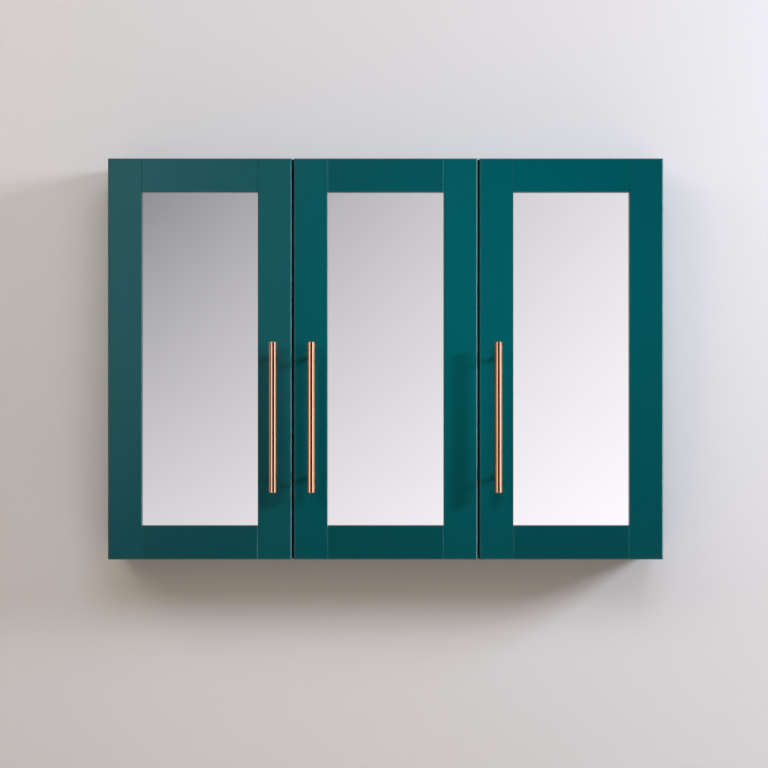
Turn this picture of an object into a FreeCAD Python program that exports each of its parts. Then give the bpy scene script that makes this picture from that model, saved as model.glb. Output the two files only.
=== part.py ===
import FreeCAD, Part
import math
import os

# Three-door mirror cabinet that hangs on a wall, in millimetres.
# X runs along the wall, Y into the wall and Z up. The origin lies on the wall's surface,
# at the centre of the four wall screws.

# Overall sizes
WIDTH = 900.0
HEIGHT = 650.0
CARCASS_DEPTH = 130.0
HANGING_LINE = 80.0  # top of the cabinet above the centre of the wall screws
PANEL = 18.0  # carcass board
DOOR_THICKNESS = 18.0
DOOR_STAND_OFF = 2.0  # air between carcass and doors
DOOR_REVEAL = 3.0  # gap between neighbouring doors
BOARD_EASE = 1.0  # eased outer edges of the carcass

# Carcass joinery
BACK_THICKNESS = 6.0
BACK_INSET = 18.0  # room behind the back for hooks and wall plates
BACK_GROOVE_DEPTH = 8.0
BACK_SIDE_AIR = 0.5
GROOVE_AIR = 0.1
DOWEL_DIAMETER = 8.0
DOWEL_IN_FACE = 12.0
DOWEL_IN_EDGE = 22.0
DOWEL_END_AIR = 0.5
DOWEL_SETBACK = 20.0  # first dowel from the front
DOWEL_PITCH = 35.0
DOWEL_COUNT = 3

# Shelves and their pins
SHELF_HEIGHTS = (214.0, 424.0)  # undersides above the bottom of the cabinet
SHELF_THICKNESS = 6.0
SHELF_SIDE_AIR = 1.0
SHELF_BACK_AIR = 1.0
SHELF_SETBACK = 10.0
SHELF_EDGE = 0.8
PIN_DIAMETER = 5.0
PIN_IN_PANEL = 8.0
PIN_HOLE_SPARE = 0.5
PIN_TONGUE = 9.0
PIN_TONGUE_WIDTH = 7.0
PIN_TONGUE_THICKNESS = 3.0
PIN_INSET = 15.0  # pin rows from the front and back edge of a shelf
PIN_PITCH = 32.0
PIN_STEPS = (-1, 0, 1)

# Door frames
STILE_WIDTH = 55.0
RAIL_WIDTH = 55.0
MIRROR_RECESS = 7.0
MIRROR_THICKNESS = 4.0
BACKING_THICKNESS = 3.0
GLASS_AIR = 0.2
FRAME_GROOVE_DEPTH = 9.0
TENON_AIR = 0.2
MIRROR_EDGE_AIR = 1.0
DOOR_EDGE_RADIUS = 3.0
FRAME_INNER_EASE = 0.6
JOINT_LINE = 0.6  # small bevel along each rail end

# Handles
BAR_DIAMETER = 12.0
BAR_LENGTH = 242.0
BAR_END_BEVEL = 0.5
POST_DIAMETER = 8.0
POST_PITCH = 192.0
HANDLE_PROJECTION = 35.0
HANDLE_FROM_EDGE = 29.0  # from the door's free edge
HANDLE_HEIGHT = 231.0  # middle of the bar above the bottom of the door
HANDLE_SCREW = 4.0
HANDLE_SCREW_AIR = 0.25
HANDLE_SCREW_IN_POST = 10.0
HANDLE_SCREW_HEAD = 8.0
HANDLE_SCREW_HEAD_HEIGHT = 2.4

# Concealed hinges. Pivots are (u, v): u inwards from the door's hinge edge and
# v into the carcass from its front. The inner link turns on the arm at INNER_ARM_PIVOT
# and carries the door at INNER_CUP_PIVOT; the outer link steers the cup.
HINGE_FROM_DOOR_END = 100.0
INNER_ARM_PIVOT = (33.0, 7.5)
INNER_CUP_PIVOT = (11.2, -5.3)
OUTER_ARM_PIVOT = (33.5, -8.5)
OUTER_CUP_PIVOT = (15.0, -8.0)
OUTER_EYE_SHIFT = (0.16, -0.98)  # the outer eye floats round its cup pin
OPEN_PIVOT_AIR = 1.12
PIVOT_PIN = 2.5
PIVOT_AIR = 0.05
PIVOT_EYE = 5.2
OUTER_EYE = 7.0
LINK_PLATE = 1.8
INNER_LINK_BOW = 4.0
INNER_LINK_INSIDE = 3.5  # distances along the pins from the hinge's middle
INNER_LINK_OUTSIDE = 5.0
INNER_LINK_BRIDGE = 7.0  # full-width stretch beside the arm pivot
OUTER_LINK_HALF = 3.2
CHEEK_INSIDE = 5.4
CHEEK_OUTSIDE = 6.9
PIN_HALF = 7.2
CUP_DIAMETER = 35.0
CUP_DEPTH = 12.0
CUP_WALL = 1.0
CUP_FROM_EDGE = 4.5
CUP_HOLE_AIR = 0.05
LUG_MARGIN = 3.0
FLANGE_THICKNESS = 1.2
FLANGE_HALF = 29.0
FLANGE_DEPTH = 11.0
CUP_SCREW_OFFSET = 9.5  # from the cup's centre away from the edge
CUP_SCREW_PITCH = 45.0
CUP_SCREW = 3.5
CUP_SCREW_LENGTH = 11.0
CUP_SCREW_HEAD = 7.0
SCREW_HEAD_HEIGHT = 2.0
NOSE_RADIUS = 2.6
ARM_NOSE_END = 9.0  # v where the nose widens into the arm
ARM_SHOULDER = 20.0
ARM_HEEL = 26.0
ARM_END = 58.0
ARM_HEIGHT = 20.0  # top of the arm above the panel
ARM_WEB = 1.5
PLATE_THICKNESS = 2.5
PLATE_START = 18.0
PLATE_HALF = 10.0
PLATE_WING_HALF = 24.0
PLATE_WING_WIDTH = 13.0
PLATE_SCREW_LINE = 37.0  # from the carcass front
PLATE_SCREW_PITCH = 32.0
PLATE_BLOCK = (24.0, 54.0)  # v range of the block inside the arm
PLATE_BLOCK_HEIGHT = 13.0
PLATE_BLOCK_AIR = 0.3
PLATE_SCREW = 4.0
PLATE_SCREW_LENGTH = 12.0
PLATE_SCREW_HEAD = 7.5
ARM_SCREW = 5.0
ARM_SCREW_LINE = 45.0
ARM_SCREW_IN_BLOCK = 8.0
ARM_SCREW_HEAD = 8.0
SCREW_HOLE_AIR = 0.1

# Buffers behind the free edge of each door
BUFFER_DIAMETER = 8.0
BUFFER_FROM_EDGE = 12.0
BUFFER_AIR = 0.2

# Hangers in the top rear corners, and the plates on the wall that carry them
HOUSING_WIDTH = 20.0
HOUSING_DEPTH = 42.0
HOUSING_HEIGHT = 48.0
HOUSING_WALL = 2.0
HOUSING_UNDER_TOP = 4.0
BOSS_DIAMETER = 10.0
BOSS_IN_PANEL = 9.0
BOSS_AIR = 0.05
BOSS_SPREAD = 32.0
HOOK_THICKNESS = 6.0
HOOK_HEIGHT = 12.0
HOOK_REACH = 34.0  # inside the housing
HOOK_TIP = 9.0  # below the lip of the wall plate
HOOK_TIP_THICKNESS = 2.2
HOOK_AIR = 0.4
HANGER_SCREW = 6.0
HANGER_SCREW_HEAD = 9.0
HANGER_SCREW_HEAD_HEIGHT = 3.0
HANGER_SCREW_DROP = 12.0
WALL_PLATE = 2.0
WALL_PLATE_WIDTH = 42.0
WALL_PLATE_HEIGHT = 52.0
WALL_PLATE_AIR = 2.0  # between wall plate and side panel
WALL_PLATE_CORNER = 5.0
LIP_STEP = 5.0
LIP_HEIGHT = 13.0
WALL_SCREW_HOLE = 5.4
WALL_SCREW_PITCH = 32.0

# Places worked out from the sizes above
X_LEFT = -WIDTH / 2
X_RIGHT = WIDTH / 2
Z_TOP = HANGING_LINE
Z_BOTTOM = HANGING_LINE - HEIGHT
Z_CEILING = Z_TOP - PANEL
Z_FLOOR = Z_BOTTOM + PANEL
Y_FRONT = -CARCASS_DEPTH
Y_BACK_REAR = -BACK_INSET
Y_BACK_FACE = Y_BACK_REAR - BACK_THICKNESS
Y_DOOR_BACK = Y_FRONT - DOOR_STAND_OFF
Y_DOOR_FACE = Y_DOOR_BACK - DOOR_THICKNESS
DOOR_WIDTH = (WIDTH - 2 * DOOR_REVEAL) / 3
X_MIDDLE_DOOR = X_LEFT + DOOR_WIDTH + DOOR_REVEAL
X_RIGHT_DOOR = X_RIGHT - DOOR_WIDTH
X_DIVIDER = X_RIGHT_DOOR - DOOR_REVEAL / 2
WIDE_BAY = (X_LEFT + PANEL, X_DIVIDER - PANEL / 2)
NARROW_BAY = (X_DIVIDER + PANEL / 2, X_RIGHT - PANEL)
HALF_OVERLAY = (PANEL - DOOR_REVEAL) / 2
CUP_CENTRE = CUP_FROM_EDGE + CUP_DIAMETER / 2
CUP_RADIUS = CUP_DIAMETER / 2
V_DOOR_BACK = -DOOR_STAND_OFF
V_CUP_FLOOR = V_DOOR_BACK - CUP_DEPTH
Y_BAR = Y_DOOR_FACE - HANDLE_PROJECTION + BAR_DIAMETER / 2
Z_HANDLE = Z_BOTTOM + HANDLE_HEIGHT
GROOVE_FACE = Y_DOOR_FACE + MIRROR_RECESS
GROOVE_WIDTH = MIRROR_THICKNESS + BACKING_THICKNESS + 2 * GLASS_AIR
HINGE_HEIGHTS = (Z_BOTTOM + HINGE_FROM_DOOR_END, Z_TOP - HINGE_FROM_DOOR_END)
SHELF_FRONT = Y_FRONT + SHELF_SETBACK
SHELF_BACK = Y_BACK_FACE - SHELF_BACK_AIR
PIN_ROWS = (SHELF_FRONT + PIN_INSET, SHELF_BACK - PIN_INSET)
DOWEL_ROW = [Y_FRONT + DOWEL_SETBACK + DOWEL_PITCH * step for step in range(DOWEL_COUNT)]

# Each door: left edge, hinge edge, direction of u along X, cover of the panel behind
DOORS = {
    "left": (X_LEFT, X_LEFT, 1, PANEL),
    "middle": (X_MIDDLE_DOOR, X_MIDDLE_DOOR + DOOR_WIDTH, -1, HALF_OVERLAY),
    "right": (X_RIGHT_DOOR, X_RIGHT, -1, PANEL),
}
ALONG_X = FreeCAD.Vector(1, 0, 0)
ALONG_Y = FreeCAD.Vector(0, 1, 0)
ALONG_Z = FreeCAD.Vector(0, 0, 1)
ORIGIN = FreeCAD.Vector(0, 0, 0)


def point(x, y, z=0.0):
    return FreeCAD.Vector(x, y, z)


def block(x, y, z):
    """Box between a low and a high limit on each axis."""
    return Part.makeBox(x[1] - x[0], y[1] - y[0], z[1] - z[0], point(x[0], y[0], z[0]))


def rod(start, axis, length, diameter):
    return Part.makeCylinder(diameter / 2, length, start, axis)


def slab(outline, z):
    """Flat piece with a straight-sided outline in X and Y."""
    corners = [point(x, y, z[0]) for x, y in outline]
    face = Part.Face(Part.makePolygon(corners + corners[:1]))
    return face.extrude(point(0, 0, z[1] - z[0]))


def mirrored(shape):
    """The same piece for the other side of the cabinet."""
    return shape.mirror(ORIGIN, ALONG_X)


def fuse(shapes):
    return shapes[0].multiFuse(shapes[1:]).removeSplitter()


def cut(shape, tools):
    return shape.cut(tools) if tools else shape


def edges_along(shape, axis, wanted):
    """Straight edges along an axis whose middle passes a test."""
    found = []
    for edge in shape.Edges:
        if not isinstance(edge.Curve, Part.Line):
            continue
        run = edge.Vertexes[1].Point.sub(edge.Vertexes[0].Point)
        middle = edge.CenterOfMass
        if abs(abs(run.normalize().dot(axis)) - 1) < 1e-6 and wanted(middle):
            found.append(edge)
    return found


def near(value, target):
    return abs(value - target) < 0.01


def save(name, shapes):
    shape = shapes[0] if len(shapes) == 1 else Part.makeCompound(shapes)
    shape.exportStep(os.path.join("parts", name + ".step"))


# Carcass

def bays():
    return {"wide": WIDE_BAY, "narrow": NARROW_BAY}


def corner_dowels():
    """Start, axis and diameter of every dowel: four corners and both ends of the divider."""
    dowels = []
    for y in DOWEL_ROW:
        for z in (Z_TOP - PANEL / 2, Z_BOTTOM + PANEL / 2):
            dowels.append((point(X_LEFT + PANEL - DOWEL_IN_FACE, y, z), ALONG_X))
            dowels.append((point(X_RIGHT - PANEL - DOWEL_IN_EDGE, y, z), ALONG_X))
        dowels.append((point(X_DIVIDER, y, Z_CEILING - DOWEL_IN_EDGE), ALONG_Z))
        dowels.append((point(X_DIVIDER, y, Z_FLOOR - DOWEL_IN_FACE), ALONG_Z))
    return dowels


def dowel_holes():
    length = DOWEL_IN_FACE + DOWEL_IN_EDGE
    return [rod(start, axis, length, DOWEL_DIAMETER) for start, axis in corner_dowels()]


def carcass_dowels():
    length = DOWEL_IN_FACE + DOWEL_IN_EDGE - 2 * DOWEL_END_AIR
    return [
        rod(start + axis * DOWEL_END_AIR, axis, length, DOWEL_DIAMETER)
        for start, axis in corner_dowels()
    ]


def pin_places():
    """Panel face, direction into the bay and height of every shelf pin, in use or spare."""
    places = []
    for low, high in bays().values():
        for face, inwards in ((low, 1), (high, -1)):
            for y in PIN_ROWS:
                for height in SHELF_HEIGHTS:
                    for step in PIN_STEPS:
                        places.append((face, inwards, y, Z_BOTTOM + height, step))
    return places


def pin_holes():
    depth = PIN_IN_PANEL + PIN_HOLE_SPARE
    holes = []
    for face, inwards, y, z, step in pin_places():
        start = point(face, y, z + step * PIN_PITCH)
        holes.append(rod(start, ALONG_X * -inwards, depth, PIN_DIAMETER))
    return holes


def shelf_pins():
    pins = []
    for face, inwards, y, z, step in pin_places():
        if step != 0:
            continue
        shank = rod(point(face, y, z), ALONG_X * -inwards, PIN_IN_PANEL, PIN_DIAMETER)
        reach = sorted((face, face + inwards * PIN_TONGUE))
        half = PIN_TONGUE_WIDTH / 2
        tongue = block(reach, (y - half, y + half), (z - PIN_TONGUE_THICKNESS, z))
        tips = edges_along(tongue, ALONG_Z, lambda m: near(m.x, face + inwards * PIN_TONGUE))
        pins.append(fuse([tongue.makeFillet(PIN_TONGUE_WIDTH / 3, tips), shank]))
    return pins


def hinge_screw_holes():
    return [screw for door in DOORS for screw in plate_screws(door)]


def hanger_boss_holes():
    bosses = hanger_bosses(BOSS_DIAMETER + 2 * BOSS_AIR)
    return bosses + [mirrored(boss) for boss in bosses]


def back_board(air):
    """The back with its edges in the grooves, or the grooves if it is grown by their air."""
    reach = BACK_GROOVE_DEPTH if air else BACK_GROOVE_DEPTH - BACK_SIDE_AIR
    return block(
        (X_LEFT + PANEL - reach, X_RIGHT - PANEL + reach),
        (Y_BACK_FACE - air, Y_BACK_REAR + air),
        (Z_FLOOR - reach, Z_CEILING + reach),
    )


def side_panel(side):
    outer = side * WIDTH / 2
    board = block(
        sorted((outer, outer - side * PANEL)), (Y_FRONT, 0.0), (Z_BOTTOM, Z_TOP)
    )
    outside = edges_along(board, ALONG_Z, lambda m: near(m.x, outer))
    board = board.makeFillet(BOARD_EASE, outside)
    tools = [back_board(GROOVE_AIR)] + dowel_holes() + pin_holes()
    tools += hinge_screw_holes() + hanger_boss_holes()
    return cut(board, tools)


def flat_panel(z):
    board = block((X_LEFT + PANEL, X_RIGHT - PANEL), (Y_FRONT, 0.0), z)
    return cut(board, [back_board(GROOVE_AIR)] + dowel_holes())


def divider_panel():
    board = block(
        (X_DIVIDER - PANEL / 2, X_DIVIDER + PANEL / 2),
        (Y_FRONT, Y_BACK_FACE),
        (Z_FLOOR, Z_CEILING),
    )
    return cut(board, dowel_holes() + pin_holes() + hinge_screw_holes())


def back_panel():
    slots = [hook_slot(), mirrored(hook_slot())]
    return cut(back_board(0), slots)


def shelf(bay, height):
    low, high = bays()[bay]
    bottom = Z_BOTTOM + height
    glass = block(
        (low + SHELF_SIDE_AIR, high - SHELF_SIDE_AIR),
        (SHELF_FRONT, SHELF_BACK),
        (bottom, bottom + SHELF_THICKNESS),
    )
    front = edges_along(glass, ALONG_X, lambda m: near(m.y, SHELF_FRONT))
    return glass.makeChamfer(SHELF_EDGE, front)


def door_buffers():
    thickness = DOOR_STAND_OFF - BUFFER_AIR
    buffers = []
    for left, hinge, towards, cover in DOORS.values():
        free = hinge + towards * DOOR_WIDTH
        x = free - towards * BUFFER_FROM_EDGE
        for z in (Z_TOP - PANEL / 2, Z_BOTTOM + PANEL / 2):
            disc = rod(point(x, Y_FRONT, z), ALONG_Y * -1, thickness, BUFFER_DIAMETER)
            rim = [e for e in disc.Edges if near(e.CenterOfMass.y, Y_FRONT - thickness)]
            buffers.append(disc.makeFillet(thickness / 3, rim[:1]))
    return buffers


# Hangers. They are drawn on the right and mirrored to the left.

X_HOUSING = X_RIGHT - PANEL - HOUSING_WIDTH
X_HOOK = X_HOUSING + HOUSING_WIDTH / 2
Z_HOUSING_TOP = Z_CEILING - HOUSING_UNDER_TOP
Z_HOUSING = Z_HOUSING_TOP - HOUSING_HEIGHT
Y_HOUSING = Y_BACK_FACE - HOUSING_DEPTH
Z_LIP = WALL_PLATE_HEIGHT / 2 - WALL_PLATE + LIP_HEIGHT
Z_HOOK = Z_LIP + HOOK_HEIGHT / 2
Y_LIP = -LIP_STEP - WALL_PLATE
X_WALL_PLATE = X_RIGHT - PANEL - WALL_PLATE_AIR - WALL_PLATE_WIDTH / 2


def hanger_bosses(diameter):
    y = Y_HOUSING + HOUSING_DEPTH / 2
    middle = Z_HOUSING + HOUSING_HEIGHT / 2
    length = HOUSING_WIDTH - HOUSING_WALL / 2 + BOSS_IN_PANEL
    return [
        rod(point(X_HOUSING + HOUSING_WALL / 2, y, middle + half), ALONG_X, length, diameter)
        for half in (-BOSS_SPREAD / 2, BOSS_SPREAD / 2)
    ]


def hook_slot():
    """Way for the hook through the back and the rear wall of the housing."""
    half = HOOK_THICKNESS / 2 + HOOK_AIR
    return block(
        (X_HOOK - half, X_HOOK + half),
        (Y_BACK_FACE - 2 * HOUSING_WALL, 0.0),
        (Z_HOOK - HOOK_HEIGHT - HOOK_AIR, Z_HOOK + HOOK_AIR),
    )


def hanger_screw_places():
    """Depth screw against the hook, height screw below it."""
    depth = Z_HOOK - HOOK_HEIGHT / 2
    return [(depth, Y_BACK_FACE - HOOK_REACH), (depth - HANGER_SCREW_DROP, Y_BACK_FACE - HOOK_REACH)]


def hanger_housing():
    shell = block(
        (X_HOUSING, X_RIGHT - PANEL), (Y_HOUSING, Y_BACK_FACE), (Z_HOUSING, Z_HOUSING_TOP)
    )
    hollow = block(
        (X_HOUSING + HOUSING_WALL, X_RIGHT - PANEL),
        (Y_HOUSING + HOUSING_WALL, Y_BACK_FACE - HOUSING_WALL),
        (Z_HOUSING + HOUSING_WALL, Z_HOUSING_TOP - HOUSING_WALL),
    )
    corners = edges_along(shell, ALONG_Z, lambda m: near(m.x, X_HOUSING))
    shell = shell.makeFillet(HOUSING_WALL / 2, corners).cut(hollow)
    shell = fuse([shell] + hanger_bosses(BOSS_DIAMETER))
    holes = [
        rod(point(X_HOOK, Y_HOUSING, z), ALONG_Y, HOUSING_WALL, HANGER_SCREW)
        for z, end in hanger_screw_places()
    ]
    return cut(shell, [hook_slot()] + holes)


def hanger_hook():
    low = Z_HOOK - HOOK_HEIGHT
    front = Y_BACK_FACE - HOOK_REACH
    inside = Y_LIP + WALL_PLATE + HOOK_AIR
    tip = inside + HOOK_TIP_THICKNESS
    outline = [
        (front, low), (front, Z_HOOK), (tip, Z_HOOK), (tip, Z_LIP - HOOK_TIP),
        (inside, Z_LIP - HOOK_TIP), (inside, Z_LIP), (Y_LIP - HOOK_TIP_THICKNESS, Z_LIP),
        (Y_LIP - 2 * HOOK_TIP_THICKNESS, low),
    ]
    corners = [point(X_HOOK - HOOK_THICKNESS / 2, y, z) for y, z in outline]
    face = Part.Face(Part.makePolygon(corners + corners[:1]))
    return face.extrude(point(HOOK_THICKNESS, 0, 0))


def hanger_screws():
    screws = []
    for z, end in hanger_screw_places():
        start = Y_HOUSING - HANGER_SCREW_HEAD_HEIGHT
        shank = rod(point(X_HOOK, start, z), ALONG_Y, end - start, HANGER_SCREW)
        head = rod(point(X_HOOK, start, z), ALONG_Y, HANGER_SCREW_HEAD_HEIGHT, HANGER_SCREW_HEAD)
        screws.append(fuse([shank, head]))
    return screws


def wall_plate():
    x = (X_WALL_PLATE - WALL_PLATE_WIDTH / 2, X_WALL_PLATE + WALL_PLATE_WIDTH / 2)
    half = WALL_PLATE_HEIGHT / 2
    sheet = block(x, (-WALL_PLATE, 0.0), (-half, half))
    lower = edges_along(sheet, ALONG_Y, lambda m: near(m.z, -half))
    sheet = sheet.makeFillet(WALL_PLATE_CORNER, lower)
    ledge = block(x, (Y_LIP, 0.0), (half - WALL_PLATE, half))
    lip = block(x, (Y_LIP, Y_LIP + WALL_PLATE), (half - WALL_PLATE, Z_LIP))
    holes = [
        rod(point(X_WALL_PLATE, -WALL_PLATE, z), ALONG_Y, WALL_PLATE, WALL_SCREW_HOLE)
        for z in (-WALL_SCREW_PITCH / 2, WALL_SCREW_PITCH / 2)
    ]
    return cut(fuse([sheet, ledge, lip]), holes)


# Hinge pieces, drawn round (u, v) with the hinge's own middle at height 0

def at_hinges(door, shapes):
    """Copies of a hinge's pieces at both hinges of a door."""
    left, hinge, towards, cover = DOORS[door]
    placed = []
    for height in HINGE_HEIGHTS:
        for shape in shapes:
            copy = shape.copy() if towards > 0 else mirrored(shape)
            copy.translate(point(hinge, Y_FRONT, height))
            placed.append(copy)
    return placed


def barrel(pivot, diameter, half):
    """Round piece on a pivot, across the middle of the hinge."""
    return rod(point(pivot[0], pivot[1], -half), ALONG_Z, 2 * half, diameter)


def collar(pivot, diameter, inside, outside):
    """Round piece on a pivot, on one side of the hinge."""
    return rod(point(pivot[0], pivot[1], inside), ALONG_Z, outside - inside, diameter)


def both_sides(shape):
    return [shape, shape.mirror(ORIGIN, ALONG_Z)]


def inner_link():
    """Bowed fork with an eye at each end; the bow clears the rim of the cup."""
    start = point(*INNER_CUP_PIVOT)
    end = point(*INNER_ARM_PIVOT)
    along = end.sub(start)
    length = along.Length
    side = point(along.y, -along.x).normalize()
    middle = (start + end) * 0.5
    radius = (length * length / 4 + INNER_LINK_BOW ** 2) / (2 * INNER_LINK_BOW)
    centre = middle + side * (INNER_LINK_BOW - radius)
    half = LINK_PLATE / 2

    def offset(spot, grow):
        spoke = spot.sub(centre).normalize()
        return centre + spoke * (radius + grow)

    top = middle + side * INNER_LINK_BOW
    outer = Part.Arc(offset(start, half), offset(top, half), offset(end, half))
    inner = Part.Arc(offset(end, -half), offset(top, -half), offset(start, -half))
    ends = [
        Part.LineSegment(offset(end, half), offset(end, -half)),
        Part.LineSegment(offset(start, -half), offset(start, half)),
    ]
    wire = Part.Wire([outer.toShape(), ends[0].toShape(), inner.toShape(), ends[1].toShape()])
    band = Part.Face(wire).extrude(point(0, 0, 2 * INNER_LINK_OUTSIDE))
    band.translate(point(0, 0, -INNER_LINK_OUTSIDE))
    pivots = (INNER_CUP_PIVOT, INNER_ARM_PIVOT)
    eyes = [barrel(pivot, PIVOT_EYE, INNER_LINK_OUTSIDE) for pivot in pivots]
    bores = [barrel(pivot, PIVOT_PIN + 2 * PIVOT_AIR, CHEEK_OUTSIDE) for pivot in pivots]
    window = block(
        (INNER_CUP_PIVOT[0] - PIVOT_EYE, INNER_ARM_PIVOT[0] - INNER_LINK_BRIDGE),
        (V_CUP_FLOOR, INNER_ARM_PIVOT[1]),
        (-INNER_LINK_INSIDE, INNER_LINK_INSIDE),
    )
    return cut(fuse([band] + eyes), bores + [window])


def outer_link():
    """Straight plate in the middle of the hinge, with a floating eye at the cup."""
    floating = (
        OUTER_CUP_PIVOT[0] + OUTER_EYE_SHIFT[0],
        OUTER_CUP_PIVOT[1] + OUTER_EYE_SHIFT[1],
    )
    start = point(*floating)
    along = point(*OUTER_ARM_PIVOT).sub(start)
    turn = math.degrees(math.atan2(along.y, along.x))
    plate = block(
        (0.0, along.Length),
        (-LINK_PLATE / 2, LINK_PLATE / 2),
        (-OUTER_LINK_HALF, OUTER_LINK_HALF),
    )
    plate.rotate(ORIGIN, ALONG_Z, turn)
    plate.translate(start)
    eyes = [
        barrel(floating, OUTER_EYE, OUTER_LINK_HALF),
        barrel(OUTER_ARM_PIVOT, PIVOT_EYE, OUTER_LINK_HALF),
    ]
    bores = [
        barrel(floating, PIVOT_PIN + 2 * OPEN_PIVOT_AIR, OUTER_LINK_HALF),
        barrel(OUTER_ARM_PIVOT, PIVOT_PIN + 2 * PIVOT_AIR, OUTER_LINK_HALF),
    ]
    return cut(fuse([plate] + eyes), bores)


def hinge_cup():
    """Round cup with two lugs that hold the link pins, and screw ears on the door's back."""
    wall = rod(point(CUP_CENTRE, V_CUP_FLOOR), ALONG_Y, CUP_DEPTH, CUP_DIAMETER)
    room = rod(
        point(CUP_CENTRE, V_CUP_FLOOR + CUP_WALL), ALONG_Y,
        CUP_DEPTH + FLANGE_THICKNESS, CUP_DIAMETER - 2 * CUP_WALL,
    )
    lug = block(
        (INNER_CUP_PIVOT[0] - LUG_MARGIN, OUTER_CUP_PIVOT[0] + LUG_MARGIN),
        (V_CUP_FLOOR + CUP_WALL / 2, V_DOOR_BACK - CUP_WALL / 2),
        (CHEEK_INSIDE, CHEEK_OUTSIDE),
    )
    screw_line = CUP_CENTRE + CUP_SCREW_OFFSET
    ears = block(
        (screw_line - FLANGE_DEPTH / 2, screw_line + FLANGE_DEPTH / 2),
        (V_DOOR_BACK, V_DOOR_BACK + FLANGE_THICKNESS),
        (-FLANGE_HALF, FLANGE_HALF),
    )
    corners = edges_along(ears, ALONG_Y, lambda m: True)
    ears = ears.makeFillet(FLANGE_DEPTH / 3, corners)
    holes = [
        rod(point(x, V_DOOR_BACK, z), ALONG_Y, FLANGE_THICKNESS, CUP_SCREW + 2 * SCREW_HOLE_AIR)
        for x, z in cup_screw_places()
    ]
    shell = cut(fuse([wall, ears]), [room] + holes)
    stubs = both_sides(collar(INNER_CUP_PIVOT, PIVOT_PIN, INNER_LINK_INSIDE, PIN_HALF))
    pin = barrel(OUTER_CUP_PIVOT, PIVOT_PIN, PIN_HALF)
    return fuse([shell] + both_sides(lug) + stubs + [pin])


def cup_screw_places():
    x = CUP_CENTRE + CUP_SCREW_OFFSET
    return [(x, -CUP_SCREW_PITCH / 2), (x, CUP_SCREW_PITCH / 2)]


def countersunk_screw(place, axis, length, diameter, head):
    """Screw whose head lies at the place and whose shank runs along the axis."""
    shank = rod(place, axis, length, diameter)
    cone = Part.makeCone(head / 2, diameter / 2, SCREW_HEAD_HEIGHT, place, axis)
    return fuse([shank, cone])


def cup_screws():
    top = V_DOOR_BACK + FLANGE_THICKNESS
    screws = []
    for x, z in cup_screw_places():
        shank = rod(point(x, top, z), ALONG_Y * -1, CUP_SCREW_LENGTH, CUP_SCREW)
        head = rod(point(x, top, z), ALONG_Y, FLANGE_THICKNESS / 2, CUP_SCREW_HEAD)
        screws.append(fuse([shank, head]))
    return screws


def hinge_arm(cover):
    """Channel from the mounting plate to the nose, which holds the two link pins."""
    base = cover + PLATE_THICKNESS
    top = cover + ARM_HEIGHT
    nose_low = OUTER_ARM_PIVOT[0] - NOSE_RADIUS
    nose_high = OUTER_ARM_PIVOT[0] + NOSE_RADIUS
    outline = [
        (nose_low, OUTER_ARM_PIVOT[1]), (nose_high, OUTER_ARM_PIVOT[1]),
        (nose_high, ARM_NOSE_END), (top, ARM_SHOULDER), (top, ARM_END),
        (base, ARM_END), (base, ARM_HEEL), (nose_low - NOSE_RADIUS / 2, ARM_NOSE_END),
    ]
    cheek = slab(outline, (CHEEK_INSIDE, CHEEK_OUTSIDE))
    tip = collar(OUTER_ARM_PIVOT, 2 * NOSE_RADIUS, CHEEK_INSIDE, CHEEK_OUTSIDE)
    web = block((top - ARM_WEB, top), (ARM_SHOULDER, ARM_END), (-CHEEK_OUTSIDE, CHEEK_OUTSIDE))
    pivots = (INNER_ARM_PIVOT, OUTER_ARM_PIVOT)
    holes = [barrel(pivot, PIVOT_PIN, CHEEK_OUTSIDE) for pivot in pivots]
    holes.append(rod(point(top - ARM_WEB, ARM_SCREW_LINE), ALONG_X, ARM_WEB, ARM_SCREW))
    return cut(fuse(both_sides(fuse([cheek, tip])) + [web]), holes)


def arm_pins():
    pivots = (INNER_ARM_PIVOT, OUTER_ARM_PIVOT)
    return [barrel(pivot, PIVOT_PIN, PIN_HALF) for pivot in pivots]


def plate_screw_places():
    return [(PLATE_SCREW_LINE, -PLATE_SCREW_PITCH / 2), (PLATE_SCREW_LINE, PLATE_SCREW_PITCH / 2)]


def hinge_plate(cover):
    """Cross-shaped mounting plate screwed to the panel, with a block that fills the arm."""
    face = (cover, cover + PLATE_THICKNESS)
    spine = block(face, (PLATE_START, ARM_END), (-PLATE_HALF, PLATE_HALF))
    half = PLATE_WING_WIDTH / 2
    wings = block(
        face,
        (PLATE_SCREW_LINE - half, PLATE_SCREW_LINE + half),
        (-PLATE_WING_HALF, PLATE_WING_HALF),
    )
    wings = wings.makeFillet(half * 0.8, edges_along(wings, ALONG_X, lambda m: True))
    inside = CHEEK_INSIDE - PLATE_BLOCK_AIR
    core = block((cover, cover + PLATE_BLOCK_HEIGHT), PLATE_BLOCK, (-inside, inside))
    tools = plate_screw_shapes(cover) + [
        rod(
            point(cover + PLATE_BLOCK_HEIGHT - ARM_SCREW_IN_BLOCK, ARM_SCREW_LINE),
            ALONG_X, ARM_SCREW_IN_BLOCK, ARM_SCREW,
        )
    ]
    return cut(fuse([spine, wings, core]), tools)


def plate_screw_shapes(cover):
    return [
        countersunk_screw(
            point(cover + PLATE_THICKNESS, v, w), ALONG_X * -1,
            PLATE_SCREW_LENGTH, PLATE_SCREW, PLATE_SCREW_HEAD,
        )
        for v, w in plate_screw_places()
    ]


def plate_screws(door):
    return at_hinges(door, plate_screw_shapes(DOORS[door][3]))


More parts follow.
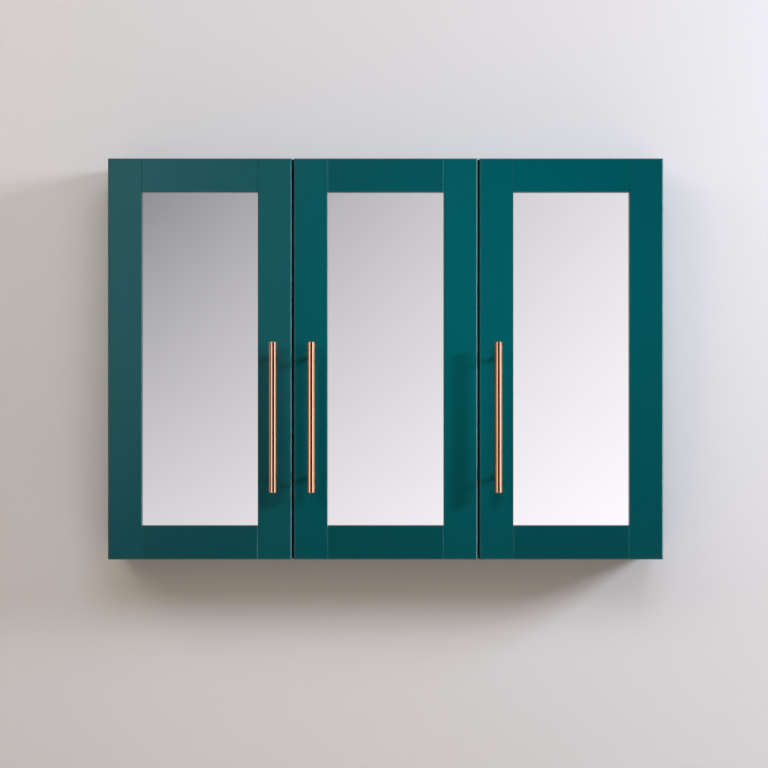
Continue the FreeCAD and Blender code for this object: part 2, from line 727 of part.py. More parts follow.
def arm_screw(cover):
    top = cover + ARM_HEIGHT
    foot = cover + PLATE_BLOCK_HEIGHT - ARM_SCREW_IN_BLOCK
    shank = rod(point(foot, ARM_SCREW_LINE), ALONG_X, top - foot, ARM_SCREW)
    head = rod(point(top, ARM_SCREW_LINE), ALONG_X, SCREW_HEAD_HEIGHT, ARM_SCREW_HEAD)
    return fuse([shank, head])


# Doors

def stile(door, at_hinge):
    left, hinge, towards, cover = DOORS[door]
    outer = hinge if at_hinge else hinge + towards * DOOR_WIDTH
    inwards = towards if at_hinge else -towards
    inner = outer + inwards * STILE_WIDTH
    board = block(sorted((outer, inner)), (Y_DOOR_FACE, Y_DOOR_BACK), (Z_BOTTOM, Z_TOP))
    rim = edges_along(board, ALONG_Z, lambda m: near(m.x, outer) and near(m.y, Y_DOOR_FACE))
    rim += edges_along(board, ALONG_X, lambda m: near(m.y, Y_DOOR_FACE))
    board = board.makeFillet(DOOR_EDGE_RADIUS, rim)
    sight = edges_along(board, ALONG_Z, lambda m: near(m.x, inner) and near(m.y, Y_DOOR_FACE))
    board = board.makeChamfer(FRAME_INNER_EASE, sight)
    groove = block(
        sorted((inner, inner - inwards * FRAME_GROOVE_DEPTH)),
        (GROOVE_FACE, GROOVE_FACE + GROOVE_WIDTH),
        (Z_BOTTOM, Z_TOP),
    )
    tools = [groove]
    if at_hinge:
        tools += at_hinges(door, [cup_hole()] + cup_screws())
    else:
        tools += handle_screw_holes(door)
    return cut(board, tools)


def cup_hole():
    return rod(
        point(CUP_CENTRE, V_CUP_FLOOR - CUP_HOLE_AIR),
        ALONG_Y,
        CUP_DEPTH + CUP_HOLE_AIR,
        CUP_DIAMETER + 2 * CUP_HOLE_AIR,
    )


def rail(door, at_top):
    left = DOORS[door][0]
    ends = (left + STILE_WIDTH, left + DOOR_WIDTH - STILE_WIDTH)
    outer = Z_TOP if at_top else Z_BOTTOM
    inwards = -1 if at_top else 1
    inner = outer + inwards * RAIL_WIDTH
    heights = sorted((outer, inner))
    board = block(ends, (Y_DOOR_FACE, Y_DOOR_BACK), heights)
    rim = edges_along(board, ALONG_X, lambda m: near(m.z, outer) and near(m.y, Y_DOOR_FACE))
    board = board.makeFillet(DOOR_EDGE_RADIUS, rim)
    joints = edges_along(board, ALONG_Z, lambda m: near(m.y, Y_DOOR_FACE))
    board = board.makeChamfer(JOINT_LINE, joints)
    sight = edges_along(board, ALONG_X, lambda m: near(m.z, inner) and near(m.y, Y_DOOR_FACE))
    board = board.makeChamfer(FRAME_INNER_EASE, sight)
    reach = FRAME_GROOVE_DEPTH - TENON_AIR
    tenon = block(
        (ends[0] - reach, ends[1] + reach),
        (GROOVE_FACE + TENON_AIR / 2, GROOVE_FACE + GROOVE_WIDTH - TENON_AIR / 2),
        heights,
    )
    groove = block(
        (ends[0] - reach, ends[1] + reach),
        (GROOVE_FACE, GROOVE_FACE + GROOVE_WIDTH),
        sorted((inner, inner - inwards * FRAME_GROOVE_DEPTH)),
    )
    return cut(fuse([board, tenon]), [groove])


def in_frame(door, front, thickness):
    """Sheet held in the grooves of a door frame."""
    left = DOORS[door][0]
    reach = FRAME_GROOVE_DEPTH - MIRROR_EDGE_AIR
    return block(
        (left + STILE_WIDTH - reach, left + DOOR_WIDTH - STILE_WIDTH + reach),
        (front, front + thickness),
        (Z_BOTTOM + RAIL_WIDTH - reach, Z_TOP - RAIL_WIDTH + reach),
    )


def mirror(door):
    return in_frame(door, GROOVE_FACE + GLASS_AIR, MIRROR_THICKNESS)


def backing_board(door):
    return in_frame(door, GROOVE_FACE + GLASS_AIR + MIRROR_THICKNESS, BACKING_THICKNESS)


def handle_x(door):
    left, hinge, towards, cover = DOORS[door]
    return hinge + towards * (DOOR_WIDTH - HANDLE_FROM_EDGE)


def post_heights():
    return (Z_HANDLE - POST_PITCH / 2, Z_HANDLE + POST_PITCH / 2)


def bar_stock(door):
    return rod(point(handle_x(door), Y_BAR, Z_HANDLE - BAR_LENGTH / 2), ALONG_Z, BAR_LENGTH, BAR_DIAMETER)


def handle_bar(door):
    bar = bar_stock(door)
    ends = [edge for edge in bar.Edges if isinstance(edge.Curve, Part.Circle)]
    return bar.makeChamfer(BAR_END_BEVEL, ends)


def handle_posts(door):
    """Two posts whose ends are hollowed to sit on the bar, tapped for the screws."""
    posts = []
    for z in post_heights():
        post = rod(point(handle_x(door), Y_BAR, z), ALONG_Y, Y_DOOR_FACE - Y_BAR, POST_DIAMETER)
        tapped = rod(
            point(handle_x(door), Y_DOOR_FACE - HANDLE_SCREW_IN_POST, z),
            ALONG_Y, HANDLE_SCREW_IN_POST, HANDLE_SCREW,
        )
        posts.append(cut(post, [bar_stock(door), tapped]))
    return posts


def handle_screw_holes(door):
    diameter = HANDLE_SCREW + 2 * HANDLE_SCREW_AIR
    return [
        rod(point(handle_x(door), Y_DOOR_FACE, z), ALONG_Y, DOOR_THICKNESS, diameter)
        for z in post_heights()
    ]


def handle_screws(door):
    screws = []
    for z in post_heights():
        start = Y_DOOR_FACE - HANDLE_SCREW_IN_POST
        shank = rod(point(handle_x(door), start, z), ALONG_Y, Y_DOOR_BACK - start, HANDLE_SCREW)
        head = rod(
            point(handle_x(door), Y_DOOR_BACK, z), ALONG_Y, HANDLE_SCREW_HEAD_HEIGHT, HANDLE_SCREW_HEAD
        )
        crown = [e for e in head.Edges if near(e.CenterOfMass.y, Y_DOOR_BACK + HANDLE_SCREW_HEAD_HEIGHT)]
        head = head.makeFillet(HANDLE_SCREW_HEAD_HEIGHT / 2, crown[:1])
        screws.append(fuse([shank, head]))
    return screws


def build_carcass():
    save("left_side_panel", [side_panel(-1)])
    save("right_side_panel", [side_panel(1)])
    save("top_panel", [flat_panel((Z_CEILING, Z_TOP))])
    save("bottom_panel", [flat_panel((Z_BOTTOM, Z_FLOOR))])
    save("divider_panel", [divider_panel()])
    save("back_panel", [back_panel()])
    save("carcass_dowels", carcass_dowels())
    for bay in bays():
        save(bay + "_shelf_lower", [shelf(bay, SHELF_HEIGHTS[0])])
        save(bay + "_shelf_upper", [shelf(bay, SHELF_HEIGHTS[1])])
    save("shelf_pins", shelf_pins())
    save("door_buffers", door_buffers())


def build_hangers():
    pieces = {
        "hanger_housings": [hanger_housing()],
        "hanger_hooks": [hanger_hook()],
        "hanger_screws": hanger_screws(),
        "wall_plates": [wall_plate()],
    }
    for name, shapes in pieces.items():
        save(name, shapes + [mirrored(shape) for shape in shapes])


def build_hinges():
    """The hinge pieces that stay on the carcass, for all six hinges."""
    arms, plates, screws, pins = [], [], [], []
    for door, (left, hinge, towards, cover) in DOORS.items():
        arms += at_hinges(door, [hinge_arm(cover)])
        plates += at_hinges(door, [hinge_plate(cover)])
        screws += plate_screws(door) + at_hinges(door, [arm_screw(cover)])
        pins += at_hinges(door, arm_pins())
    save("hinge_arms", arms)
    save("hinge_plates", plates)
    save("hinge_screws", screws)
    save("hinge_arm_pins", pins)


def build_door(door):
    save(door + "_hinge_stile", [stile(door, True)])
    save(door + "_handle_stile", [stile(door, False)])
    save(door + "_top_rail", [rail(door, True)])
    save(door + "_bottom_rail", [rail(door, False)])
    save(door + "_mirror", [mirror(door)])
    save(door + "_backing_board", [backing_board(door)])
    save(door + "_handle_bar", [handle_bar(door)])
    save(door + "_handle_posts", handle_posts(door))
    save(door + "_handle_screws", handle_screws(door))
    save(door + "_hinge_cups", at_hinges(door, [hinge_cup()]))
    save(door + "_cup_screws", at_hinges(door, cup_screws()))
    save(door + "_inner_links", at_hinges(door, [inner_link()]))
    save(door + "_outer_links", at_hinges(door, [outer_link()]))


os.makedirs("parts", exist_ok=True)
build_carcass()
build_hangers()
build_hinges()
for name in DOORS:
    build_door(name)
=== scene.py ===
"""Finishes, screws and studio for a three-door mirror cabinet."""
import math
from typing import NamedTuple

import bmesh
import bpy
from bpy.props import FloatProperty, FloatVectorProperty, IntProperty, PointerProperty
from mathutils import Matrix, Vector


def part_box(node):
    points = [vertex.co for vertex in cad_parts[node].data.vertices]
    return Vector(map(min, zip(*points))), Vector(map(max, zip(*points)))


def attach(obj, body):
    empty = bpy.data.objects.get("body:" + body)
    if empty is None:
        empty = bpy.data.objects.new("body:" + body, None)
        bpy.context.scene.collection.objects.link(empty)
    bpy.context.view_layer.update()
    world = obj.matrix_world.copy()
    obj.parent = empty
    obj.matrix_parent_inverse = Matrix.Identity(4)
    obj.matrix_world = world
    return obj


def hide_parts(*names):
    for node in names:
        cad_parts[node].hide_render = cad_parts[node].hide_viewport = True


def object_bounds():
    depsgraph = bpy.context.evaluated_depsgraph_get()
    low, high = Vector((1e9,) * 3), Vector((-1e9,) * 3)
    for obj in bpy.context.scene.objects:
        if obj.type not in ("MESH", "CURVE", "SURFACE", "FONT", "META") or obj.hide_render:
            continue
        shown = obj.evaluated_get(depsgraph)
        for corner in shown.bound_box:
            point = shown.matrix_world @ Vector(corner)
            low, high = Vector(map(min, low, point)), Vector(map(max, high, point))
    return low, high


bl_info = {
    "name": "Mirror Cabinet Looks",
    "version": (1, 0, 0),
    "blender": (4, 5, 0),
    "location": "3D View > Sidebar > Cabinet",
    "description": "Finishes, screws and studio for a three-door mirror cabinet",
    "category": "Object",
}

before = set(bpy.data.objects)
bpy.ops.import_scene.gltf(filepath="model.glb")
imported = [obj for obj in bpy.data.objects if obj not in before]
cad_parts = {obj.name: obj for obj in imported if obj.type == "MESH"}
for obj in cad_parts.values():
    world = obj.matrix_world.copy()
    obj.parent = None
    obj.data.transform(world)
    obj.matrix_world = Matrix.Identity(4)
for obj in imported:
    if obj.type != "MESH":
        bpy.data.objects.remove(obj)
CAD_LOW, CAD_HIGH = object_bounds()

# Pieces of the cabinet
DOORS = ("left", "middle", "right")
FRAME_PIECES = ("hinge_stile", "handle_stile", "top_rail", "bottom_rail")
BOARDS_UPRIGHT = ("left_side_panel", "right_side_panel", "divider_panel")
BOARDS_LEVEL = ("top_panel", "bottom_panel")
SHELVES = ("wide_shelf_lower", "wide_shelf_upper", "narrow_shelf_lower", "narrow_shelf_upper")

# Rails painted darker as shade and given a painted highlight line at their joints, and frame pieces that
# the right edge strip leaves out
SHADED_HIGHLIT_RAILS = ("middle_top_rail", "left_bottom_rail", "middle_bottom_rail", "right_bottom_rail")
DULL_EDGED = ("left_hinge_stile", "left_top_rail", "right_top_rail")


def colour(name, description, default):
    return FloatVectorProperty(
        name=name, description=description, default=default, subtype="COLOR", min=0.0, max=1.0, size=3
    )


def length(name, description, default):
    return FloatProperty(name=name, description=description, default=default, unit="LENGTH")


def share(name, description, default):
    return FloatProperty(
        name=name, description=description, default=default, subtype="FACTOR", min=0.0, max=1.0
    )


def watts(name, description, default):
    return FloatProperty(name=name, description=description, default=default, unit="POWER")


class CabinetPaint(bpy.types.PropertyGroup):
    """Paint on the door frames and the carcass."""

    base: colour("Paint", "Dark teal of the paint", (0.0001, 0.080, 0.0885))
    thin: colour("Thin paint", "Tone where the paint lies thinner", (0.0002, 0.087, 0.096))
    # Painted shade: the seamed rails, three of them bottom rails, are painted this much darker than the
    # stiles, standing in for dimmer light at the foot of the doors
    rail_shade: share("Rail tone", "Tone of the rails whose joints show, against the stiles", 0.88)
    # Painted highlight: the joint line's pale tone and width stand in for light caught by the groove
    # where a rail meets a stile
    seam: colour("Joint line", "Tone of the thin line where a rail meets a stile", (0.016, 0.135, 0.145))
    highlight_width: length("Joint line width", "Width of the line on the rail", 0.0016)
    roughness: share("Roughness", "Satin of the dry paint", 0.24)
    gloss: share("Gloss", "Strength of the highlight", 0.42)
    grain_height: length("Grain height", "Timber grain that shows through the paint", 0.00003)
    stipple_height: length("Stipple height", "Fine texture left by the roller", 0.000008)


class CabinetMetal(bpy.types.PropertyGroup):
    """Handles, hinges, screws and wall fixings."""

    copper: colour("Copper", "Satin copper of the handles", (0.83, 0.40, 0.22))
    copper_shade: colour("Copper shade", "Tone between the brush lines", (0.70, 0.30, 0.15))
    copper_roughness: share("Copper roughness", "Satin of the handles", 0.175)
    nickel: colour("Nickel", "Plating on hinges and shelf pins", (0.66, 0.64, 0.60))
    nickel_roughness: share("Nickel roughness", "Gloss of the plating", 0.22)
    zinc: colour("Zinc", "Plating on screws and wall fixings", (0.56, 0.58, 0.60))
    zinc_roughness: share("Zinc roughness", "Gloss of the plating", 0.38)


class CabinetGlass(bpy.types.PropertyGroup):
    """Mirrors and shelves."""

    silver: colour("Silver", "Silvered face of the mirrors", (0.93, 0.93, 0.94))
    mirror_roughness: share("Mirror roughness", "Haze of the mirrors", 0.02)
    shelf: colour("Shelf glass", "Tint of the shelves", (0.90, 0.97, 0.94))


class CabinetInside(bpy.types.PropertyGroup):
    """Pieces that show behind open doors or from the back."""

    foil: colour("Foil", "Pale foil on the back and the backing boards", (0.55, 0.54, 0.51))
    beech: colour("Beech", "Bare wood of the dowels", (0.58, 0.40, 0.22))
    plastic: colour("Plastic", "Moulded hanger housings", (0.66, 0.66, 0.63))
    buffer: colour("Buffer", "Soft clear buffers", (0.70, 0.72, 0.71))


class CabinetScrews(bpy.types.PropertyGroup):
    """Form of every screw."""

    sides: IntProperty(name="Sides", description="Facets round a screw", default=28, min=8)
    recess_share: share("Recess width", "Cross recess as a share of the head", 0.58)
    slot_share: share("Slot width", "One slot of the cross as a share of the head", 0.13)
    depth_share: share("Recess depth", "Cross recess as a share of the head's height", 0.6)
    crown: share("Crown", "How much a domed head draws in at its top", 0.34)


class CabinetStudio(bpy.types.PropertyGroup):
    """Wall, floor, lights and camera."""

    wall: colour("Wall", "Painted wall behind the cabinet", (0.78, 0.78, 0.78))
    floor: colour("Floor", "Plain pale floor", (0.62, 0.53, 0.44))
    floor_drop: length("Floor drop", "Floor below the bottom of the cabinet", 1.10)
    room_width: length("Room width", "Width of wall and floor", 9.0)
    camera_distance: length("Camera distance", "Camera in front of the doors", 3.2)
    view_width: length("View width", "Width that the camera sees at the doors", 1.2437)
    view_x: length("View centre X", "Middle of the view along the wall", -0.0026)
    view_z: length("View centre Z", "Middle of the view's height", -0.2856)
    key: watts("Key light", "Soft light on the right, close to the wall", 53.7)
    front: watts("Front light", "Soft light above, right of the camera", 28.3)
    fill: watts("Fill light", "Soft light above, left of the camera", 9.5)
    room: watts("Room light", "Warm light from the whole room in front of the wall", 96.0)
    door_key: watts("Door key light", "Small key light on the door frames alone", 66.0)
    door_left: watts("Door side light", "Small light on the door frames from the left", 4.6)
    door_near: watts("Door near light", "Small light close in front of the door frames", 1.9)
    haze: watts("Haze panel", "Panel far left that shows in the left door's gloss", 3.3)
    haze_middle: watts("High haze panel", "Panel high up that shows in the middle door's gloss", 4.2)
    back_light: watts("Back light", "Soft light behind the wall, for views of the back", 60.0)
    edge_left: watts("Left edge strip", "Panel that rounded door edges reflect on their left", 4.0)
    edge_right: watts("Right edge strip", "Panel that rounded door edges reflect on their right", 60.0)
    left_strip: watts("Left strip", "Panel that the handles reflect on their left", 7.8)
    right_strip: watts("Right strip", "Panel that the handles reflect on their right", 17.5)
    backdrop: colour("Backdrop", "Pale studio that the camera and glossy pieces see", (0.80, 0.79, 0.78))
    dim_side: share("Dim side", "How pale the far left of the studio is to glossy pieces", 0.25)
    pale_floor: share("Pale floor", "How far the camera and gloss see the floor as backdrop", 0.7)
    card_dark: share("Card, dark end", "Glow of the card's upper left corner", 0.310)
    card_across: share("Card, sideways", "How much the card's glow gains to the right", 0.516)
    card_down: share("Card, downwards", "How much the card's left side gains downwards", 0.412)
    card_right: share("Card, right side", "Gain downwards on the right as a share of the left", 0.6)


GROUPS = {
    "cabinet_paint": CabinetPaint,
    "cabinet_metal": CabinetMetal,
    "cabinet_glass": CabinetGlass,
    "cabinet_inside": CabinetInside,
    "cabinet_screws": CabinetScrews,
    "cabinet_studio": CabinetStudio,
}


# Places of the colour sockets on a Mix node
MIX_FIRST, MIX_SECOND, MIX_RESULT = 6, 7, 2

EVEN = (1.0, 1.0, 1.0)


class Nodes:
    """A node tree while it is put together."""

    def __init__(self, tree):
        self.tree = tree
        self.nodes = tree.nodes
        self.links = tree.links

    def add(self, kind, inputs=None, **settings):
        """A new node with its settings, and with its inputs set or linked."""
        node = self.nodes.new(kind)
        for key, value in settings.items():
            setattr(node, key, value)
        for key, value in (inputs or {}).items():
            self.feed(node.inputs[key], value)
        return node

    def feed(self, socket, value):
        """Links another socket to this one, or sets its value."""
        if isinstance(value, bpy.types.NodeSocket):
            self.links.new(value, socket)
        else:
            socket.default_value = value

    def math(self, operation, first, second=0.0):
        node = self.add("ShaderNodeMath", {0: first, 1: second}, operation=operation)
        return node.outputs[0]

    def axis(self, vector, name):
        return self.add("ShaderNodeSeparateXYZ", {0: vector}).outputs[name]

    def looking_ray(self):
        """One for rays from the camera, gloss and glass, and zero for rays that only gather light."""
        ray = self.add("ShaderNodeLightPath").outputs
        seen = ray["Is Camera Ray"]
        for kind in ("Is Glossy Ray", "Is Transmission Ray"):
            seen = self.math("MAXIMUM", seen, ray[kind])
        return seen


class Finish(Nodes):
    """A surface material while it is put together."""

    def __init__(self, name):
        self.material = bpy.data.materials.new(name)
        self.material.use_nodes = True
        super().__init__(self.material.node_tree)
        self.shader = self.nodes["Principled BSDF"]
        self.place = self.add("ShaderNodeTexCoord").outputs["Object"]

    def dress(self, **inputs):
        """Sets or links inputs of the surface shader; underscores stand for spaces."""
        for key, value in inputs.items():
            self.feed(self.shader.inputs[key.replace("_", " ")], value)

    def cover(self, shader):
        """Shows another shader in place of the surface shader."""
        self.links.new(shader, self.nodes["Material Output"].inputs["Surface"])

    def noise(self, scale, detail, stretch=EVEN):
        """Noise from zero to one, with scale in waves per metre."""
        spread = self.add("ShaderNodeMapping", {"Vector": self.place, "Scale": stretch})
        texture = self.add(
            "ShaderNodeTexNoise", {"Vector": spread.outputs[0], "Scale": scale, "Detail": detail}
        )
        return texture.outputs["Fac"]

    def between(self, factor, low, high, start=0.3, end=0.7):
        """A number that runs from low to high as the factor passes from start to end."""
        scaled = self.add(
            "ShaderNodeMapRange",
            {"Value": factor, "From Min": start, "From Max": end, "To Min": low, "To Max": high},
        )
        return scaled.outputs["Result"]

    def around(self, factor, middle, spread):
        """A number that varies about a middle value with the factor."""
        return self.between(factor, middle - spread, middle + spread)

    def blend(self, factor, first, second):
        """A colour between two others."""
        mix = self.add("ShaderNodeMix", {"Factor": factor}, data_type="RGBA")
        self.feed(mix.inputs[MIX_FIRST], first)
        self.feed(mix.inputs[MIX_SECOND], second)
        return mix.outputs[MIX_RESULT]

    def bump(self, height, distance, under=None):
        """Relief of a real height in metres, on top of another relief if there is one."""
        relief = self.add("ShaderNodeBump", {"Height": height, "Distance": distance, "Strength": 1.0})
        if under is not None:
            self.links.new(under, relief.inputs["Normal"])
        return relief.outputs["Normal"]


def rgba(values):
    return (values[0], values[1], values[2], 1.0)


def darker(values, factor):
    return rgba([value * factor for value in values])


def clothe(nodes, material):
    """Gives one material to whole CAD nodes."""
    for name in nodes:
        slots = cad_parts[name].data.materials
        slots.clear()
        slots.append(material)


def door_nodes(*pieces, doors=DOORS):
    """Names of the same pieces on each door."""
    return [door + "_" + piece for door in doors for piece in pieces]


def named(nodes):
    """CAD objects by the names of their nodes."""
    return [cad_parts[name] for name in nodes]


GRAIN_STRETCH = 30.0
PORE_TONE = 0.8
SEAM_FADE = 0.2


def pale_highlight_line(finish, looks):
    """Strength of the painted highlight: a pale line that a rail shows beside the stiles that hold its
    tenons, where light would catch the joint's groove.
    """
    rail_end = 0.5 * (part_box("left_handle_stile")[0].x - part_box("left_hinge_stile")[1].x)
    half_pitch = 0.5 * (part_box("middle_top_rail")[0].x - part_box("left_top_rail")[0].x)
    start = rail_end - looks.highlight_width
    from_middle = finish.math("PINGPONG", finish.axis(finish.place, "X"), half_pitch)
    line = finish.between(from_middle, 0.0, 1.0, start, start + SEAM_FADE * looks.highlight_width)
    # Painted highlight broken up at random along the line
    highlight_breakup = finish.between(finish.noise(scale=40.0, detail=2.0), 0.4, 1.0)
    return finish.math("MULTIPLY", line, highlight_breakup)


def teal_paint(name, along, looks, shaded_and_highlit=False):
    """Satin paint over timber whose grain runs along one axis; the seamed rails also get painted shade
    and a painted joint highlight.
    """
    finish = Finish(name)
    stretch = [1.0 if axis == along else GRAIN_STRETCH for axis in "XYZ"]
    cloud = finish.noise(scale=5.0, detail=2.0)
    grain = finish.noise(scale=12.0, detail=5.0, stretch=stretch)
    stipple = finish.noise(scale=1500.0, detail=1.0)
    # Painted shade: the seamed rails get darker paint than the stiles
    shade_factor = looks.rail_shade if shaded_and_highlit else 1.0
    base = darker(looks.base, shade_factor)
    thin = darker(looks.thin, shade_factor)
    pores = darker(looks.base, PORE_TONE * shade_factor)
    tone = finish.blend(finish.between(cloud, 0.0, 0.7), base, thin)
    tone = finish.blend(finish.between(grain, 0.0, 0.22, start=0.35, end=0.75), tone, pores)
    # Painted highlight: pale line beside the stiles, where light would catch the joint
    if shaded_and_highlit:
        tone = finish.blend(pale_highlight_line(finish, looks), tone, rgba(looks.seam))
    relief = finish.bump(grain, looks.grain_height)
    relief = finish.bump(stipple, looks.stipple_height, relief)
    rough = finish.around(stipple, looks.roughness, spread=0.05)
    finish.dress(Base_Color=tone, Roughness=rough, Specular_IOR_Level=looks.gloss, Normal=relief)
    return finish.material


def satin_copper(looks):
    """Copper brushed along the bar."""
    finish = Finish("satin_copper")
    brush = finish.noise(scale=900.0, detail=3.0, stretch=(1.0, 1.0, 0.012))
    patina = finish.noise(scale=14.0, detail=2.0)
    lines = finish.blend(brush, rgba(looks.copper_shade), rgba(looks.copper))
    aged = finish.blend(finish.between(patina, 0.0, 0.18), lines, rgba(looks.copper_shade))
    rough = finish.around(brush, looks.copper_roughness, spread=0.065)
    relief = finish.bump(brush, distance=0.000012)
    finish.dress(Base_Color=aged, Metallic=1.0, Roughness=rough, Normal=relief)
    return finish.material


def plated(name, base, roughness, spangle):
    """Plated sheet steel with a faint cloud of crystals and rolling marks."""
    finish = Finish(name)
    cloud = finish.noise(scale=spangle, detail=2.0)
    marks = finish.noise(scale=700.0, detail=2.0, stretch=(1.0, 0.05, 1.0))
    tone = finish.blend(finish.between(cloud, 0.0, 1.0), darker(base, factor=0.84), rgba(base))
    rough = finish.around(marks, roughness, spread=0.07)
    relief = finish.bump(marks, distance=0.000006)
    finish.dress(Base_Color=tone, Metallic=1.0, Roughness=rough, Normal=relief)
    return finish.material


def silvered_mirror(looks):
    """Silvered float glass with the faint draw lines of the sheet."""
    finish = Finish("silvered_mirror")
    draw = finish.noise(scale=1.6, detail=1.0, stretch=(1.0, 1.0, 0.35))
    haze = finish.noise(scale=9.0, detail=2.0)
    dull = darker(looks.silver, factor=0.99)
    tone = finish.blend(finish.between(haze, 0.0, 1.0), dull, rgba(looks.silver))
    rough = finish.around(haze, looks.mirror_roughness, spread=0.4 * looks.mirror_roughness)
    relief = finish.bump(draw, distance=0.00001)
    finish.dress(Base_Color=tone, Metallic=1.0, Roughness=rough, Normal=relief)
    return finish.material


def shelf_glass(looks):
    """Clear float glass with a few wipe marks."""
    finish = Finish("shelf_glass")
    wipes = finish.noise(scale=30.0, detail=4.0, stretch=(1.0, 3.0, 1.0))
    dull = darker(looks.shelf, factor=0.98)
    tone = finish.blend(finish.between(wipes, 0.0, 1.0), dull, rgba(looks.shelf))
    rough = finish.between(wipes, 0.0, 0.05)
    finish.dress(Base_Color=tone, Roughness=rough, IOR=1.5, Transmission_Weight=1.0)
    return finish.material


def speckled(name, base, roughness, scale, height, stretch=EVEN):
    """Matt surface with a fine pattern in tone and relief."""
    finish = Finish(name)
    fleck = finish.noise(scale=scale, detail=4.0, stretch=stretch)
    cloud = finish.noise(scale=7.0, detail=2.0)
    tone = finish.blend(finish.between(fleck, 0.0, 1.0), darker(base, factor=0.86), rgba(base))
    tone = finish.blend(finish.between(cloud, 0.0, 0.3), tone, darker(base, factor=0.93))
    rough = finish.around(fleck, roughness, spread=0.06)
    finish.dress(Base_Color=tone, Roughness=rough, Normal=finish.bump(fleck, height))
    return finish.material


class CABINET_OT_paint_boards(bpy.types.Operator):
    """Paint the door frames and the carcass boards"""

    bl_idname = "cabinet.paint_boards"
    bl_label = "Paint boards"

    def execute(self, context):
        looks = context.scene.cabinet_paint
        upright = teal_paint("teal_paint_upright", "Z", looks)
        level = teal_paint("teal_paint_level", "X", looks)
        clothe(door_nodes("hinge_stile", "handle_stile"), upright)
        clothe(BOARDS_UPRIGHT, upright)
        clothe(door_nodes("top_rail"), level)
        clothe(BOARDS_LEVEL, level)
        # Seamed rails: painted shade and a painted joint highlight
        clothe(SHADED_HIGHLIT_RAILS, teal_paint("teal_paint_rail", "X", looks, shaded_and_highlit=True))
        return {"FINISHED"}


class CABINET_OT_glaze(bpy.types.Operator):
    """Silver the mirrors and finish the glass shelves"""

    bl_idname = "cabinet.glaze"
    bl_label = "Glaze"

    def execute(self, context):
        looks = context.scene.cabinet_glass
        clothe(door_nodes("mirror"), silvered_mirror(looks))
        clothe(SHELVES, shelf_glass(looks))
        return {"FINISHED"}


class CABINET_OT_finish_handles(bpy.types.Operator):
    """Give the bars and posts their satin copper"""

    bl_idname = "cabinet.finish_handles"
    bl_label = "Finish handles"

    def execute(self, context):
        clothe(door_nodes("handle_bar", "handle_posts"), satin_copper(context.scene.cabinet_metal))
        return {"FINISHED"}


class CABINET_OT_plate_hardware(bpy.types.Operator):
    """Plate the hinges, shelf pins and wall fixings"""

    bl_idname = "cabinet.plate_hardware"
    bl_label = "Plate hardware"

    def execute(self, context):
        looks = context.scene.cabinet_metal
        nickel = plated("nickel_plate", looks.nickel, looks.nickel_roughness, spangle=40.0)
        zinc = plated("zinc_plate", looks.zinc, looks.zinc_roughness, spangle=160.0)
        clothe(("hinge_arms", "hinge_plates", "hinge_arm_pins", "shelf_pins"), nickel)
        clothe(door_nodes("hinge_cups", "inner_links", "outer_links"), nickel)
        clothe(("hanger_hooks", "hanger_screws", "wall_plates", "hinge_screws"), zinc)
        clothe(door_nodes("handle_screws", "cup_screws"), zinc)
        return {"FINISHED"}


class CABINET_OT_finish_inside(bpy.types.Operator):
    """Finish the back, backing boards, dowels, hanger housings and buffers"""

    bl_idname = "cabinet.finish_inside"
    bl_label = "Finish inside"

    def execute(self, context):
        looks = context.scene.cabinet_inside
        foil = speckled("pale_foil", looks.foil, roughness=0.6, scale=600.0, height=0.00002)
        beech = speckled(
            "beech", looks.beech, roughness=0.65, scale=300.0, height=0.00004, stretch=(0.2, 1.0, 0.2)
        )
        plastic = speckled("hanger_plastic", looks.plastic, roughness=0.5, scale=900.0, height=0.00002)
        buffer = speckled("soft_buffer", looks.buffer, roughness=0.4, scale=400.0, height=0.00001)
        clothe(["back_panel"] + door_nodes("backing_board"), foil)
        clothe(["carcass_dowels"], beech)
        clothe(["hanger_housings"], plastic)
        clothe(["door_buffers"], buffer)
        return {"FINISHED"}


WELD_DISTANCE = 1e-6


def solid_boxes(node):
    """Lowest and highest corner of each separate solid in a CAD node."""
    shape = bmesh.new()
    shape.from_mesh(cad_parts[node].data)
    bmesh.ops.remove_doubles(shape, verts=shape.verts, dist=WELD_DISTANCE)
    unseen = set(shape.verts)
    boxes = []
    while unseen:
        waiting = [unseen.pop()]
        points = []
        while waiting:
            vert = waiting.pop()
            points.append(vert.co.copy())
            for edge in vert.link_edges:
                other = edge.other_vert(vert)
                if other in unseen:
                    unseen.remove(other)
                    waiting.append(other)
        low = Vector([min(p[i] for p in points) for i in range(3)])
        high = Vector([max(p[i] for p in points) for i in range(3)])
        boxes.append((low, high))
    shape.free()
    return sorted(boxes, key=lambda box: tuple(box[0]))


SCREW_INPUTS = (
    "Head Diameter", "Head Height", "Base Share", "Crown", "Shank Diameter", "Shank Length",
    "Recess Width", "Slot Width", "Recess Depth",
)
HEAD_RINGS = 5
CROWN_POWER = 3.0

# What each kind of screw has of its own, in metres or as a share; the rest comes from its solid
PLATE_HEAD = 0.0075
PLATE_SHANK = 0.0040
SCREW_KINDS = {
    "plate": {
        "Head Height": 0.0020, "Shank Diameter": PLATE_SHANK, "Base Share": PLATE_SHANK / PLATE_HEAD,
        "Crown": 0.0,
    },
    "arm": {"Head Height": 0.0020, "Shank Diameter": 0.0050},
    "hanger": {"Head Height": 0.0030, "Shank Diameter": 0.0060, "Crown": 0.12},
    "cup": {"Head Height": 0.0006, "Shank Diameter": 0.0035, "Recess Depth": 0.0005, "Crown": 0.1},
    "handle": {"Head Height": 0.0024, "Shank Diameter": 0.0040},
}

# An arm screw is at least this share of the longest hinge screw
LONG_SHARE = 0.9

# Turns that bring a screw's head from the Z axis to another axis
TURNS = {
    "+X": (0.0, math.pi / 2, 0.0),
    "-X": (0.0, -math.pi / 2, 0.0),
    "+Y": (-math.pi / 2, 0.0, 0.0),
    "-Y": (math.pi / 2, 0.0, 0.0),
}


